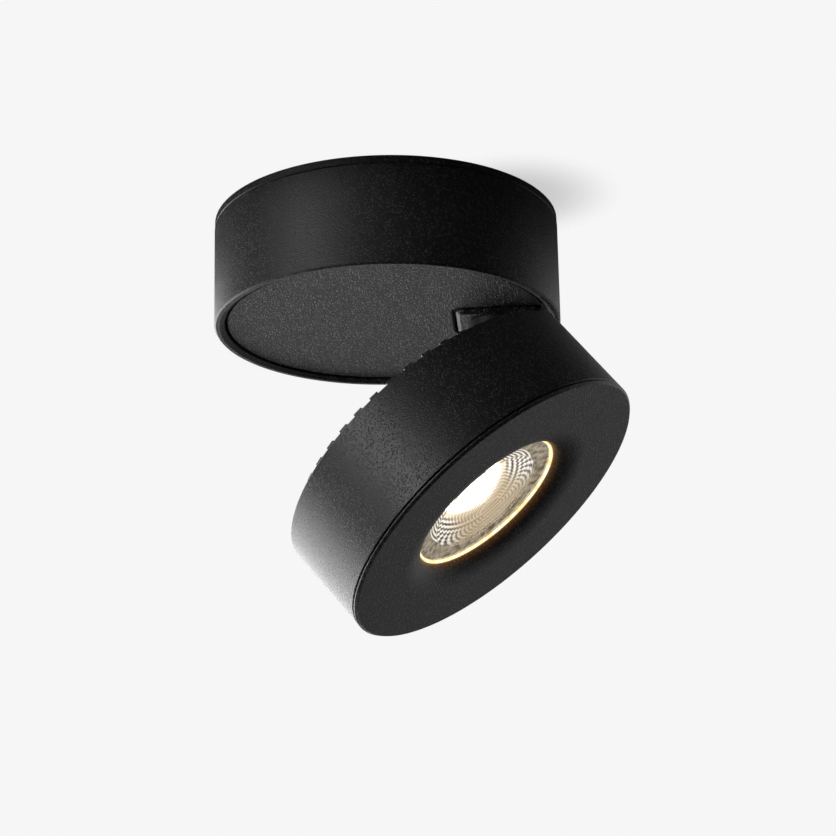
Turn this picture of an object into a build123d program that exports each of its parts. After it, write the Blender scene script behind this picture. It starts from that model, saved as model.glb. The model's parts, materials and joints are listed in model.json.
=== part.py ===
from build123d import *
import math
import os

# Surface mounted ceiling spotlight: a round base that stays on the ceiling and a round head of the
# same diameter, joined by a swivel arm and a tilt hinge near the base's rim.
# Millimetres. Origin: centre of the base's ceiling face, +Z up into the ceiling, +X towards the hinge.

# ---- driving dimensions -------------------------------------------------------------------------

# outer sizes
base_radius = 50.0
base_height = 32.3
plate_height = 2.3
plate_inset = 0.1
head_radius = 50.0
head_depth = 30.0
fold_gap = 4.1

# clearances
press_gap = 0.02
running_gap = 0.05
loose_gap = 0.3
cut_margin = 1.0

# pose in which the light is built
tilt_angle = 38.6
swivel_angle = -10.0

# base housing
base_wall = 2.1
rim_edge = 0.45
rim_strip = 1.5
rim_bevel = 1.45
rim_bevel_depth = 0.85
housing_top_edge = 0.35
ledge_width = 5.1
ledge_height = 1.8

# mounting plate
plate_edge = 0.2
spigot_wall = 2.0
spigot_depth = 4.5
cable_hole_radius = 9.0
ceiling_screw_spacing = 60.0
ceiling_slot_radius = 2.25
ceiling_slot_length = 10.0
set_screw_radius = 1.5
set_screw_length = 3.8
set_screw_angles = (50.0, 130.0)
set_screw_socket = 0.75
set_screw_socket_depth = 1.5
set_screw_sink = 0.25
hook_angle = -90.0
hook_width = 9.0
hook_height = 2.0
hook_reach = 0.9
grommet_flange = 2.0
grommet_lip = 1.2
grommet_bore_radius = 4.0

# base disc and its slot
disc_recess = 1.24
disc_thickness = 2.0
disc_gap = 0.95
slot_reach = 12.7
slot_half_width = 10.0
slot_corner = 2.5
slot_edge = 0.5
disc_screw_inset = 1.2
disc_screw_radius = 1.0
disc_screw_bite = 1.4
disc_screw_angles = (60.0, 180.0, 300.0)

# hinge block in the slot
block_gap = 0.9
block_end_inset = 5.4
block_bevel = 1.0
block_corner = 2.0
flange_inner_reach = 16.5
flange_outer_reach = 7.5
flange_half_width = 15.0
flange_height = 3.0
tower_radius = 8.0
tower_height = 11.0
block_screw_radius = 1.25
block_screw_bite = 1.5
block_screw_inset = 2.4

# swivel
spindle_radius = 4.0
spindle_bore = 2.4
spindle_flange_width = 1.5
spindle_flange_height = 1.2
bush_wall = 1.2
bush_flange_width = 1.4
bush_flange_height = 0.8
swivel_washer_height = 0.5
swivel_washer_width = 1.6
spring_washer_height = 0.6
nut_height = 3.0
nut_across_flats = 12.0
thread_tail = 0.8
arm_length = 15.45
arm_height = 3.0
arm_boss_radius = 9.0
stop_radius = 7.0
stop_pin_radius = 0.8
stop_pin_reach = 1.2
stop_pin_depth = 3.0
stop_web = 1.4

# tilt hinge
hinge_inset = 2.55
hinge_drop = 2.9
knuckle_radius = 2.2
knuckle_half_width = 3.2
tilt_pin_radius = 1.25
tilt_washer_height = 0.4
tilt_washer_inset = 0.2
ear_width = 2.0
clip_height = 0.5
clip_width = 0.9
clip_mouth = 1.5
bracket_depth = 1.8
bracket_reach = 14.15
bracket_half_width = 8.6
bracket_screw_reach = 10.45
bracket_screw_y = 5.8
bracket_screw_radius = 1.25
bracket_screw_length = 5.0
countersink_radius = 2.125
countersink_depth = 1.0
bracket_post_radius = 3.0
bracket_post_floor = 1.0

# head housing
head_wall = 2.2
head_front_edge = 0.25
head_back_edge = 0.3
back_rim_width = 4.0
rib_count = 47
rib_angle = 3.5
rib_rise = 2.0
rib_depth = 2.0
rib_inner_radius = 24.0
rib_inset = 3.4
back_floor = 2.2
pedestal_radius = 16.5
pedestal_height = 1.5
pad_gap = 0.4
lead_hole_offset = 3.5
lead_hole_radius = 3.0
lead_grommet_bore = 1.5
lead_grommet_lip = 1.0
lead_grommet_rise = 0.3

# front ring and its opening
ring_edge = 0.7
ring_band = 1.05
ring_groove = 0.45
ring_groove_inset = 0.8
ring_plate = 1.6
ring_spigot_wall = 1.6
ring_spigot_depth = 4.4
dish_radius = 32.3
throat_round = 3.6
throat_radius = 24.4
throat_depth = 5.0
hub_wall = 3.4

# light engine
lens_radius = 25.4
lens_thickness = 2.0
dome_radius = 17.6
dome_height = 3.0
optic_gap = 0.4
reflector_flange = 1.4
reflector_wall = 0.8
reflector_mouth = 22.6
reflector_neck = 8.2
retainer_height = 1.0
retainer_lap = 1.8
retainer_screw_radius = 0.9
retainer_screw_bite = 3.0
retainer_screw_angles = (60.0, 180.0, 300.0)
thermal_pad_height = 0.3
cob_side = 19.0
cob_height = 1.0
emitter_radius = 6.5
emitter_height = 0.3
holder_radius = 16.0
holder_height = 0.8
holder_screw_x = 12.6
holder_screw_radius = 1.0
holder_screw_bite = 3.0

# driver and wiring parts in the base
driver_gap = 1.5
driver_length = 52.0
driver_width = 30.0
driver_height = 14.0
driver_wall = 1.2
driver_lid_height = 1.6
lid_frame_wall = 1.5
driver_ear = 4.0
driver_screw_radius = 1.25
driver_screw_head = 1.875
board_height = 1.6
board_lift = 2.5
board_foot_radius = 1.5
board_foot_inset = 3.0
transformer_length = 14.0
transformer_width = 13.0
transformer_height = 8.0
transformer_core_width = 7.8
transformer_winding_length = 8.4
transformer_winding_height = 5.6
transformer_shift = 4.0
capacitor_radius = 3.2
capacitor_height = 8.0
capacitor_edge = 0.4
capacitor_pitch = 8.0
capacitor_shift = -12.0
terminal_gap = 1.5
terminal_length = 26.0
terminal_width = 11.0
terminal_height = 11.0
terminal_wire_radius = 1.6
terminal_wire_height = 3.85
terminal_screw_pitch = 8.0
terminal_screw_radius = 1.6
terminal_screw_depth = 3.0
terminal_screw_sink = 0.4
terminal_fixing_radius = 1.0
terminal_fixing_head = 1.8
terminal_fixing_seat = 2.0
clamp_gap = 1.5
clamp_length = 20.0
clamp_width = 6.0
clamp_height = 3.0
clamp_cable_radius = 3.4
clamp_bridge_wall = 2.0
clamp_screw_inset = 2.3
clamp_screw_radius = 1.25
clamp_screw_head = 2.1
earth_gap = 1.5
earth_screw_radius = 2.0
earth_screw_head = 3.4
earth_screw_head_height = 1.6
earth_tag_radius = 4.2
earth_tag_height = 0.8
earth_blade_length = 8.0
earth_blade_width = 4.0
floor_screw_bite = 1.4

# screw heads
pan_head_share = 1.8
pan_head_height = 1.2
pan_head_side_share = 0.6
pan_head_top_share = 0.7
screw_slot_width = 0.4
screw_slot_depth = 0.4

# ---- places and levels worked out from them -----------------------------------------------------

hinge_x = base_radius - hinge_inset
swivel_x = hinge_x - arm_length
slot_start = swivel_x - slot_reach
block_end = base_radius - block_end_inset
flange_start = swivel_x - flange_inner_reach
flange_end = swivel_x + flange_outer_reach
bracket_start = hinge_x - bracket_reach
bracket_screw_x = hinge_x - bracket_screw_reach
lead_hole_x = swivel_x - lead_hole_offset

driver_x = flange_start - driver_gap - driver_width / 2
driver_back_x = driver_x - driver_width / 2
terminal_x = driver_back_x - terminal_gap - terminal_width / 2
clamp_y = -driver_length / 2 - clamp_gap - clamp_width / 2
earth_y = driver_length / 2 + earth_gap + earth_tag_radius

rim_z = -base_height
housing_top_z = -plate_height
disc_z = rim_z + disc_recess
disc_top_z = disc_z + disc_thickness
housing_bore = base_radius - base_wall
disc_bore = base_radius - rim_strip - rim_bevel
disc_radius = disc_bore - disc_gap
ledge_radius = housing_bore - ledge_width
spigot_radius = housing_bore - loose_gap
set_screw_z = housing_top_z - spigot_depth / 2

hinge_z = rim_z - hinge_drop
arm_top_z = rim_z - swivel_washer_height
arm_bottom_z = arm_top_z - arm_height
tower_top_z = rim_z + tower_height
bush_radius = spindle_radius + running_gap + bush_wall

back_z = rim_z - fold_gap
face_z = back_z - head_depth
head_bore = head_radius - head_wall
head_front_z = face_z + ring_band + ring_groove
floor_z = back_z - rib_depth - back_floor
pedestal_z = floor_z - pedestal_height
pad_half_width = arm_boss_radius + pad_gap
pad_start = swivel_x - pad_half_width
lens_z = face_z + throat_depth
reflector_z = lens_z + lens_thickness
retainer_z = reflector_z + reflector_flange
hub_bore = lens_radius + loose_gap
hub_radius = hub_bore + hub_wall
board_z = pedestal_z - thermal_pad_height - cob_height
emitter_z = board_z - emitter_height
neck_z = emitter_z - loose_gap


# ---- helpers ------------------------------------------------------------------------------------

def turned(points):
    """A solid of revolution about Z from (radius, height) points."""
    outline = Polyline(*[(radius, 0, height) for radius, height in points], close=True)
    return revolve(make_face(outline), Axis.Z)


def tube(outer, inner, low, high):
    return turned([(inner, low), (outer, low), (outer, high), (inner, high)])


def rod(radius, low, high):
    return turned([(0, low), (radius, low), (radius, high), (0, high)])


def block(x_low, x_high, half_width, low, high):
    """A box that is symmetric about the XZ plane."""
    size = Box(x_high - x_low, 2 * half_width, high - low)
    return Pos((x_low + x_high) / 2, 0, (low + high) / 2) * size


def across(radius, x, z, y_low, y_high):
    """A rod along Y."""
    return Pos(x, (y_low + y_high) / 2, z) * Rot(90, 0, 0) * Cylinder(radius, y_high - y_low)


def at_angle(radius, angle):
    turn = math.radians(angle)
    return radius * math.cos(turn), radius * math.sin(turn)


def group(solids):
    return Compound(children=[part.solid() for part in solids])


def screw(radius, seat_z, bite, head=0, head_height=pan_head_height):
    """A pan head screw pointing down: its head stands on seat_z and its shank ends bite below."""
    head = head or radius * pan_head_share
    top_z = seat_z + head_height
    recess = Pos(0, 0, top_z) * Box(head, screw_slot_width, 2 * screw_slot_depth)
    body = turned([
        (0, seat_z - bite), (radius, seat_z - bite), (radius, seat_z), (head, seat_z),
        (head, seat_z + head_height * pan_head_side_share), (head * pan_head_top_share, top_z), (0, top_z),
    ])
    return body - recess


def folded_to_swivel(shape):
    """Turn a part of the swivel body from its straight position to the built pose."""
    return Pos(swivel_x, 0, 0) * Rot(0, 0, swivel_angle) * Pos(-swivel_x, 0, 0) * shape


def folded_to_head(shape):
    """Tilt a part of the head from the folded position, then turn it with the arm."""
    tilted = Pos(hinge_x, 0, hinge_z) * Rot(0, -tilt_angle, 0) * Pos(-hinge_x, 0, -hinge_z) * shape
    return folded_to_swivel(tilted)


# ---- base ---------------------------------------------------------------------------------------

def make_mounting_plate():
    radius = base_radius - plate_inset
    spigot_z = housing_top_z - spigot_depth
    plate = turned([
        (cable_hole_radius, housing_top_z), (spigot_radius - spigot_wall, housing_top_z),
        (spigot_radius - spigot_wall, spigot_z), (spigot_radius, spigot_z),
        (spigot_radius, housing_top_z), (radius - plate_edge, housing_top_z),
        (radius, housing_top_z + plate_edge), (radius, -plate_edge), (radius - plate_edge, 0),
        (cable_hole_radius, 0),
    ])
    slot = extrude(SlotOverall(ceiling_slot_length, 2 * ceiling_slot_radius, rotation=90), plate_height)
    for side in (-1, 1):
        plate -= Pos(0, side * ceiling_screw_spacing / 2, housing_top_z) * slot
    for angle in set_screw_angles:
        plate -= Rot(0, 0, angle) * make_side_hole(set_screw_radius + press_gap)
    hook = block(spigot_radius - spigot_wall, spigot_radius + hook_reach, hook_width / 2,
                 set_screw_z - hook_height / 2, set_screw_z + hook_height / 2)
    return plate + Rot(0, 0, hook_angle) * hook


def make_side_hole(radius):
    """A rod along +X through the top of the housing wall."""
    inner = spigot_radius - spigot_wall - cut_margin
    length = base_radius + cut_margin - inner
    return Pos(inner + length / 2, 0, set_screw_z) * Rot(0, 90, 0) * Cylinder(radius, length)


def make_cable_grommet():
    lip = cable_hole_radius + grommet_flange
    lower = housing_top_z - grommet_lip
    neck = cable_hole_radius - press_gap
    return turned([
        (grommet_bore_radius, lower), (lip, lower), (lip, housing_top_z - press_gap),
        (neck, housing_top_z - press_gap), (neck, 0), (grommet_bore_radius, 0),
    ])


def make_base_housing():
    bevel_z = rim_z + rim_bevel_depth
    ledge_top_z = disc_top_z + ledge_height
    shell = turned([
        (base_radius - rim_strip, rim_z), (base_radius - rim_edge, rim_z), (base_radius, rim_z + rim_edge),
        (base_radius, housing_top_z - housing_top_edge), (base_radius - housing_top_edge, housing_top_z),
        (housing_bore, housing_top_z), (housing_bore, ledge_top_z), (ledge_radius, ledge_top_z),
        (ledge_radius, disc_top_z), (disc_bore, disc_top_z), (disc_bore, bevel_z),
    ])
    for angle in set_screw_angles:
        shell -= Rot(0, 0, angle) * make_side_hole(set_screw_radius + press_gap)
    for angle in disc_screw_angles:
        x, y = at_angle(disc_radius - disc_screw_inset, angle)
        shell -= Pos(x, y, 0) * rod(disc_screw_radius + press_gap, disc_top_z, ledge_top_z)
    recess = block(spigot_radius - spigot_wall, spigot_radius + hook_reach + loose_gap,
                   hook_width / 2 + loose_gap, set_screw_z - hook_height / 2 - loose_gap,
                   set_screw_z + hook_height / 2 + loose_gap)
    return shell - Rot(0, 0, hook_angle) * recess


def make_set_screws():
    start = base_radius - set_screw_sink
    body = Pos(start - set_screw_length / 2, 0, set_screw_z) * Rot(0, 90, 0)
    body *= Cylinder(set_screw_radius, set_screw_length)
    socket = extrude(RegularPolygon(set_screw_socket, 6), 2 * set_screw_socket_depth)
    body -= Pos(start - set_screw_socket_depth, 0, set_screw_z) * Rot(0, 90, 0) * socket
    return group([Rot(0, 0, angle) * body for angle in set_screw_angles])


def make_slot_outline(grow):
    """The hinge slot's outline, open past the disc's edge."""
    left = slot_start - grow
    right = 2 * base_radius
    half = slot_half_width + grow
    return Pos((left + right) / 2, 0) * RectangleRounded(right - left, 2 * half, slot_corner + grow)


def make_base_disc():
    disc = rod(disc_radius, disc_z, disc_top_z)
    disc -= Pos(0, 0, disc_z) * extrude(make_slot_outline(0), disc_thickness)
    lower = Pos(0, 0, disc_z) * make_slot_outline(slot_edge)
    upper = Pos(0, 0, disc_z + slot_edge) * make_slot_outline(0)
    disc -= loft([lower.face(), upper.face()])
    for angle in disc_screw_angles:
        x, y = at_angle(disc_radius - disc_screw_inset, angle)
        disc -= Pos(x, y, 0) * make_floor_hole(disc_screw_radius, disc_screw_bite)
    for x, y in floor_screw_places():
        disc -= Pos(x, y, 0) * make_floor_hole(driver_screw_radius, floor_screw_bite)
    for x, y in block_screw_places():
        disc -= Pos(x, y, 0) * make_floor_hole(block_screw_radius, block_screw_bite)
    for x, y in clamp_screw_places():
        disc -= Pos(x, y, 0) * make_floor_hole(clamp_screw_radius, floor_screw_bite)
    for x, y in terminal_fixing_places():
        disc -= Pos(x, y, 0) * make_floor_hole(terminal_fixing_radius, floor_screw_bite)
    disc -= Pos(driver_x, earth_y, 0) * make_floor_hole(earth_screw_radius, floor_screw_bite)
    return disc


def make_floor_hole(radius, depth):
    """A blind threaded hole in the disc's upper face."""
    return rod(radius + press_gap, disc_top_z - depth, disc_top_z)


def make_disc_screws():
    seat_z = disc_top_z + ledge_height
    screws = []
    for angle in disc_screw_angles:
        x, y = at_angle(disc_radius - disc_screw_inset, angle)
        screws.append(Pos(x, y, 0) * screw(disc_screw_radius, seat_z, ledge_height + disc_screw_bite))
    return group(screws)


# ---- driver and wiring parts --------------------------------------------------------------------

def floor_screw_places():
    """Screws of the driver case, in two ears at its back."""
    spread = driver_length / 2 - driver_ear
    return [(driver_back_x - driver_ear / 2, side * spread) for side in (-1, 1)]


def block_screw_places():
    y = flange_half_width - block_screw_inset
    return [(x, side * y) for x in (flange_start + block_screw_inset, flange_end - block_screw_inset)
            for side in (-1, 1)]


def clamp_screw_places():
    reach = clamp_length / 2 - clamp_screw_inset
    return [(driver_x + side * reach, clamp_y) for side in (-1, 1)]


def terminal_fixing_places():
    return [(terminal_x, side * terminal_screw_pitch / 2) for side in (-1, 1)]


def make_driver_case():
    room_length = driver_length - 2 * driver_wall
    room_width = driver_width - 2 * driver_wall
    outer = Box(driver_width, driver_length, driver_height)
    room = Pos(0, 0, driver_wall) * Box(room_width, room_length, driver_height)
    case = Pos(driver_x, 0, disc_top_z + driver_height / 2) * (outer - room)
    for x, y in floor_screw_places():
        case += Pos(x, y, disc_top_z + driver_wall / 2) * Box(driver_ear, 2 * driver_ear, driver_wall)
        case -= Pos(x, y, 0) * rod(driver_screw_radius + press_gap, disc_top_z, disc_top_z + driver_wall)
    return case


def make_driver_lid():
    top_z = disc_top_z + driver_height
    lid = Pos(driver_x, 0, top_z + driver_lid_height / 2)
    lid *= Box(driver_width, driver_length, driver_lid_height)
    frame_width = driver_width - 2 * (driver_wall + loose_gap)
    frame_length = driver_length - 2 * (driver_wall + loose_gap)
    frame = Box(frame_width, frame_length, driver_wall)
    frame -= Box(frame_width - 2 * lid_frame_wall, frame_length - 2 * lid_frame_wall, driver_wall)
    return lid + Pos(driver_x, 0, top_z - driver_wall / 2) * frame


def board_top():
    return disc_top_z + driver_wall + board_lift + board_height


def make_driver_board():
    length = driver_length - 2 * (driver_wall + loose_gap)
    width = driver_width - 2 * (driver_wall + loose_gap)
    board = Pos(driver_x, 0, board_top() - board_height / 2) * Box(width, length, board_height)
    foot_x = width / 2 - board_foot_inset
    foot_y = length / 2 - board_foot_inset
    foot_z = disc_top_z + driver_wall
    foot = rod(board_foot_radius, foot_z, foot_z + board_lift)
    for x_side in (-1, 1):
        for y_side in (-1, 1):
            board += Pos(driver_x + x_side * foot_x, y_side * foot_y, 0) * foot
    return board


def make_driver_transformer():
    core = Box(transformer_core_width, transformer_length, transformer_height)
    winding = Box(transformer_width, transformer_winding_length, transformer_winding_height)
    return Pos(driver_x, transformer_shift, board_top() + transformer_height / 2) * (core + winding)


def make_driver_capacitors():
    can = rod(capacitor_radius, board_top(), board_top() + capacitor_height)
    can = chamfer(can.faces().sort_by(Axis.Z)[-1].edges(), capacitor_edge)
    return group([Pos(driver_x + side * capacitor_pitch / 2, capacitor_shift, 0) * can for side in (-1, 1)])


def make_driver_screws():
    seat_z = disc_top_z + driver_wall
    body = screw(driver_screw_radius, seat_z, driver_wall + floor_screw_bite, driver_screw_head)
    return group([Pos(x, y, 0) * body for x, y in floor_screw_places()])


def terminal_places():
    return [Pos(terminal_x, step * terminal_screw_pitch, 0) for step in (-1, 0, 1)]


def make_terminal_block():
    top_z = disc_top_z + terminal_height
    seat_z = disc_top_z + terminal_fixing_seat
    body = Pos(terminal_x, 0, disc_top_z + terminal_height / 2)
    body *= Box(terminal_width, terminal_length, terminal_height)
    wire_hole = Pos(0, 0, disc_top_z + terminal_wire_height) * Rot(0, 90, 0)
    wire_hole *= Cylinder(terminal_wire_radius, 2 * terminal_width)
    for place in terminal_places():
        body -= place * rod(terminal_screw_radius + press_gap, top_z - terminal_screw_depth, top_z)
        body -= place * wire_hole
    for x, y in terminal_fixing_places():
        body -= Pos(x, y, 0) * rod(terminal_fixing_head + press_gap, seat_z, top_z)
        body -= Pos(x, y, 0) * rod(terminal_fixing_radius + press_gap, disc_top_z, seat_z)
    return body


def make_terminal_screws():
    top_z = disc_top_z + terminal_height
    slot_z = top_z - terminal_screw_sink
    body = rod(terminal_screw_radius, top_z - terminal_screw_depth, slot_z)
    body -= Pos(0, 0, slot_z) * Box(3 * terminal_screw_radius, screw_slot_width, 2 * screw_slot_depth)
    return group([place * body for place in terminal_places()])


def make_terminal_fixings():
    seat_z = disc_top_z + terminal_fixing_seat
    bite = terminal_fixing_seat + floor_screw_bite
    body = screw(terminal_fixing_radius, seat_z, bite, terminal_fixing_head)
    return group([Pos(x, y, 0) * body for x, y in terminal_fixing_places()])


def make_cable_clamp():
    y_low = clamp_y - clamp_width / 2
    y_high = clamp_y + clamp_width / 2
    bridge_radius = clamp_cable_radius + clamp_bridge_wall
    bar = Pos(driver_x, clamp_y, disc_top_z + clamp_height / 2) * Box(clamp_length, clamp_width, clamp_height)
    above = Pos(driver_x, clamp_y, disc_top_z + bridge_radius / 2)
    above *= Box(2 * bridge_radius, clamp_width, bridge_radius)
    clamp = bar + (across(bridge_radius, driver_x, disc_top_z, y_low, y_high) & above)
    clamp -= across(clamp_cable_radius, driver_x, disc_top_z, y_low, y_high)
    for x, y in clamp_screw_places():
        clamp -= Pos(x, y, 0) * rod(clamp_screw_radius + press_gap, disc_top_z, disc_top_z + clamp_height)
    return clamp


def make_clamp_screws():
    seat_z = disc_top_z + clamp_height
    body = screw(clamp_screw_radius, seat_z, clamp_height + floor_screw_bite, clamp_screw_head)
    return group([Pos(x, y, 0) * body for x, y in clamp_screw_places()])


def make_earth_tag():
    tag_top_z = disc_top_z + earth_tag_height
    hole = rod(earth_screw_radius + press_gap, disc_top_z, tag_top_z)
    blade = block(-earth_tag_radius - earth_blade_length / 2, 0, earth_blade_width / 2, disc_top_z, tag_top_z)
    tag = rod(earth_tag_radius, disc_top_z, tag_top_z) + blade - hole
    return Pos(driver_x, earth_y, 0) * tag


def make_earth_screw():
    seat_z = disc_top_z + earth_tag_height
    body = screw(earth_screw_radius, seat_z, earth_tag_height + floor_screw_bite, earth_screw_head,
                 earth_screw_head_height)
    return Pos(driver_x, earth_y, 0) * body


# ---- swivel -------------------------------------------------------------------------------------

def on_swivel(shape):
    return Pos(swivel_x, 0, 0) * shape


def make_hinge_block():
    start = slot_start + block_gap
    half = slot_half_width - block_gap
    outline = RectangleRounded(block_end - start, 2 * half, block_corner)
    outline = Pos((start + block_end) / 2, 0, rim_z) * outline
    boss = extrude(outline, disc_top_z - rim_z)
    boss = chamfer(boss.faces().sort_by(Axis.Z)[0].edges().group_by(Axis.X)[0], block_bevel)
    flange = block(flange_start, flange_end, flange_half_width, disc_top_z, disc_top_z + flange_height)
    body = boss + flange + on_swivel(rod(tower_radius, disc_top_z, tower_top_z))
    body -= on_swivel(rod(bush_radius + press_gap, rim_z, tower_top_z))
    pin_place = Pos(swivel_x - stop_radius, 0, 0)
    body -= pin_place * rod(stop_pin_radius + press_gap, rim_z, rim_z + stop_pin_depth)
    for x, y in block_screw_places():
        body -= Pos(x, y, 0) * rod(block_screw_radius + press_gap, disc_top_z, disc_top_z + flange_height)
    return body


def make_block_screws():
    seat_z = disc_top_z + flange_height
    body = screw(block_screw_radius, seat_z, flange_height + block_screw_bite)
    return group([Pos(x, y, 0) * body for x, y in block_screw_places()])


def make_stop_pin():
    pin = rod(stop_pin_radius, rim_z - stop_pin_reach, rim_z + stop_pin_depth)
    return Pos(swivel_x - stop_radius, 0, 0) * pin


def make_swivel_bush():
    flange = bush_radius + bush_flange_width
    inner = spindle_radius + running_gap
    top_z = tower_top_z + bush_flange_height
    return on_swivel(turned([
        (inner, rim_z), (bush_radius, rim_z), (bush_radius, tower_top_z), (flange, tower_top_z),
        (flange, top_z), (inner, top_z),
    ]))


def make_swivel_washer():
    inner = spindle_radius + running_gap
    outer = spindle_radius + swivel_washer_width
    return on_swivel(tube(outer, inner, arm_top_z + running_gap, rim_z))


def make_swivel_arm():
    boss = on_swivel(rod(arm_boss_radius, arm_bottom_z, arm_top_z))
    knuckle_start = hinge_x - 2 * knuckle_radius
    outline = Polyline(
        (swivel_x, -arm_boss_radius), (knuckle_start, -knuckle_half_width), (hinge_x, -knuckle_half_width),
        (hinge_x, knuckle_half_width), (knuckle_start, knuckle_half_width), (swivel_x, arm_boss_radius),
        close=True)
    neck = Pos(0, 0, arm_bottom_z) * extrude(make_face(outline), arm_height)
    knuckle = across(knuckle_radius, hinge_x, hinge_z, -knuckle_half_width, knuckle_half_width)
    above_pin = across(knuckle_radius, hinge_x, hinge_z, -2 * knuckle_half_width, 2 * knuckle_half_width)
    end_trim = block(hinge_x - knuckle_radius / 2, base_radius, arm_boss_radius, hinge_z, rim_z) - above_pin
    arm = boss + (neck - end_trim) + knuckle
    arm -= across(tilt_pin_radius + running_gap, hinge_x, hinge_z, -arm_boss_radius, arm_boss_radius)
    flange_z = arm_bottom_z + spindle_flange_height
    flange_radius = spindle_radius + spindle_flange_width + press_gap
    arm -= on_swivel(rod(spindle_radius + press_gap, arm_bottom_z, arm_top_z))
    arm -= on_swivel(rod(flange_radius, arm_bottom_z, flange_z))
    groove_reach = stop_pin_radius + loose_gap
    groove_z = rim_z - stop_pin_reach - loose_gap
    groove = tube(stop_radius + groove_reach, stop_radius - groove_reach, groove_z, arm_top_z)
    web = block(0, 2 * stop_radius, stop_web / 2, groove_z, arm_top_z)
    arm -= on_swivel(groove - web)
    return folded_to_swivel(arm)


def make_swivel_spindle():
    flange = spindle_radius + spindle_flange_width
    flange_z = arm_bottom_z + spindle_flange_height
    top_z = tower_top_z + bush_flange_height + spring_washer_height + nut_height + thread_tail
    return folded_to_swivel(on_swivel(turned([
        (spindle_bore, arm_bottom_z), (flange, arm_bottom_z), (flange, flange_z), (spindle_radius, flange_z),
        (spindle_radius, top_z), (spindle_bore, top_z),
    ])))


def make_spring_washer():
    low = tower_top_z + bush_flange_height + running_gap
    ring = tube(bush_radius + bush_flange_width, spindle_radius + press_gap, low, low + spring_washer_height)
    return folded_to_swivel(on_swivel(ring))


def make_spindle_nut():
    low = tower_top_z + bush_flange_height + spring_washer_height + running_gap
    hexagon = extrude(RegularPolygon(nut_across_flats / 2, 6, major_radius=False), nut_height)
    nut = Pos(0, 0, low) * hexagon - rod(spindle_radius + press_gap, low, low + nut_height)
    return folded_to_swivel(on_swivel(nut))


# ---- tilt hinge ---------------------------------------------------------------------------------

def ear_inner():
    return knuckle_half_width + tilt_washer_height + running_gap


def ear_outer():
    return ear_inner() + ear_width


def bracket_end():
    """Where the bracket's foot stops short of the knuckle."""
    return hinge_x - knuckle_radius - 2 * loose_gap


def make_hinge_bracket():
    foot_z = back_z - bracket_depth
    ear_end = hinge_x + knuckle_radius
    bracket = block(bracket_start, bracket_end(), bracket_half_width, foot_z, back_z)
    for side in (-1, 1):
        y_low, y_high = sorted((side * ear_inner(), side * ear_outer()))
        ear = across(knuckle_radius, hinge_x, hinge_z, y_low, y_high)
        web = Pos((bracket_end() + ear_end) / 2, (y_low + y_high) / 2, (foot_z + hinge_z) / 2)
        ear += web * Box(ear_end - bracket_end(), ear_width, hinge_z - foot_z)
        bracket += ear
    bracket -= across(tilt_pin_radius + press_gap, hinge_x, hinge_z, -head_radius, head_radius)
    bracket &= rod(hinge_x + knuckle_radius, foot_z, rim_z)
    for side in (-1, 1):
        place = Pos(bracket_screw_x, side * bracket_screw_y, 0)
        bracket -= place * make_countersunk(press_gap)
    return folded_to_head(bracket)


def make_countersunk(gap):
    """A countersunk screw in the bracket, its head flush with the bracket's face."""
    low = back_z - bracket_screw_length
    return turned([
        (0, low), (bracket_screw_radius + gap, low), (bracket_screw_radius + gap, back_z - countersink_depth),
        (countersink_radius + gap, back_z), (0, back_z),
    ])


def make_bracket_screws():
    recess = Pos(0, 0, back_z) * Box(2 * bracket_screw_radius, screw_slot_width, 2 * screw_slot_depth)
    body = make_countersunk(0) - recess
    places = [Pos(bracket_screw_x, side * bracket_screw_y, 0) for side in (-1, 1)]
    return group([folded_to_head(place * body) for place in places])


def pin_reach():
    return ear_outer() + 2 * clip_height + 2 * running_gap


def make_tilt_pin():
    pin = across(tilt_pin_radius, hinge_x, hinge_z, -pin_reach(), pin_reach())
    return folded_to_head(pin)


def make_tilt_washers():
    washers = []
    low = knuckle_half_width + running_gap / 2
    for side in (-1, 1):
        y_low, y_high = sorted((side * low, side * (low + tilt_washer_height)))
        ring = across(knuckle_radius - tilt_washer_inset, hinge_x, hinge_z, y_low, y_high)
        ring -= across(tilt_pin_radius + press_gap, hinge_x, hinge_z, -base_radius, base_radius)
        washers.append(folded_to_head(ring))
    return group(washers)


def make_tilt_clips():
    clips = []
    low = ear_outer() + running_gap
    for side in (-1, 1):
        y_low, y_high = sorted((side * low, side * (low + clip_height)))
        ring = across(tilt_pin_radius + clip_width, hinge_x, hinge_z, y_low, y_high)
        ring -= across(tilt_pin_radius + press_gap, hinge_x, hinge_z, -base_radius, base_radius)
        mouth = Pos(hinge_x, 0, hinge_z + tilt_pin_radius) * Box(clip_mouth, base_radius, 2 * clip_width)
        clips.append(folded_to_head(ring - mouth))
    return group(clips)


# ---- head ---------------------------------------------------------------------------------------

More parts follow.
